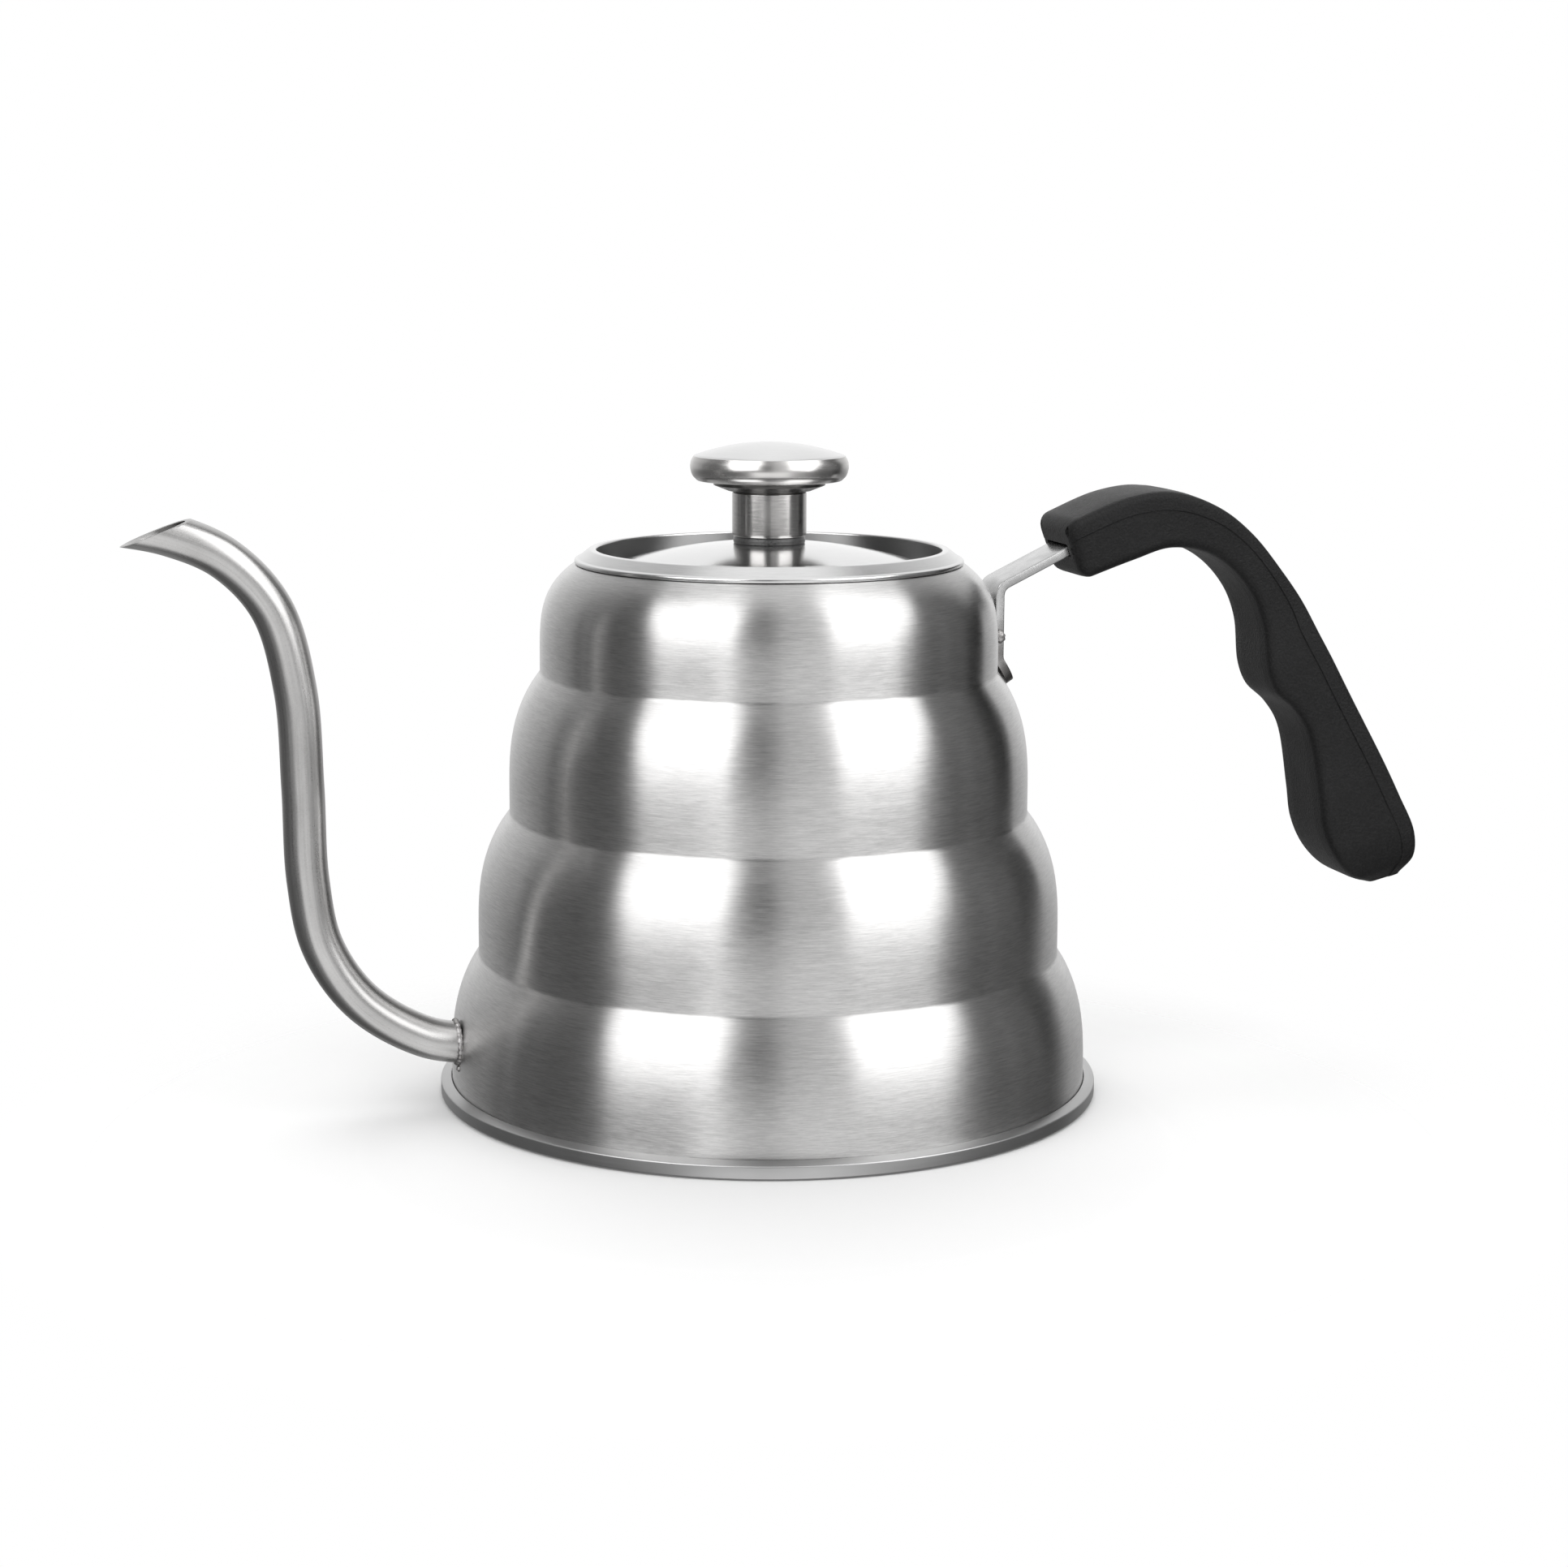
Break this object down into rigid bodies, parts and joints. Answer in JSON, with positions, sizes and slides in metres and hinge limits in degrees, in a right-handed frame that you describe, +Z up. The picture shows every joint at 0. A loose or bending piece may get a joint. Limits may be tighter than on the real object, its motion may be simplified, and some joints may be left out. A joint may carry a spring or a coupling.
{
  "type": "gooseneck kettle",
  "caption": "Stovetop pour-over kettle with a stepped steel body, a slim curved spout, a lift-off lid with a mushroom knob and an arched black grip.",
  "frame": {"origin": "on the kettle's vertical axis, in the plane of the base that it stands on", "axes": "+Z up, the spout points along -X and the handle along +X, Y is across the kettle"},
  "size_m": [0.2909, 0.145, 0.1424],
  "materials": {
    "satin_steel": "satin, brushed round the body",
    "polished_steel": "polished",
    "spout_steel": "satin, brushed along the tube",
    "weld_steel": "rough weld bead, slightly tinted by heat",
    "core_aluminium": "plain rolled",
    "grip_resin": "fine moulded texture, matte black",
    "gasket_rubber": "matte black"
  },
  "bodies": {
    "kettle": {"body_shell": "satin_steel", "mouth_rim": "polished_steel", "base_pan": "polished_steel", "base_core": "core_aluminium", "base_cap": "satin_steel", "spout_tube": "spout_steel", "spout_weld": "weld_steel", "handle_bracket": "polished_steel", "bracket_weld_left": "weld_steel", "bracket_weld_right": "weld_steel", "handle_grip": "grip_resin", "handle_screw": "polished_steel"},
    "lid": {"lid_plate": "polished_steel", "lid_skirt": "satin_steel", "knob_gasket": "gasket_rubber", "knob_stem": "satin_steel", "knob_boss": "polished_steel", "knob_cap": "polished_steel", "knob_washer": "polished_steel", "knob_screw": "polished_steel"}
  },
  "joints": [
    {"name": "lid_lift", "type": "slide", "parent": "kettle", "child": "lid", "axis": [0, 0, 1], "range_m": [0, 0.06]}
  ]
}
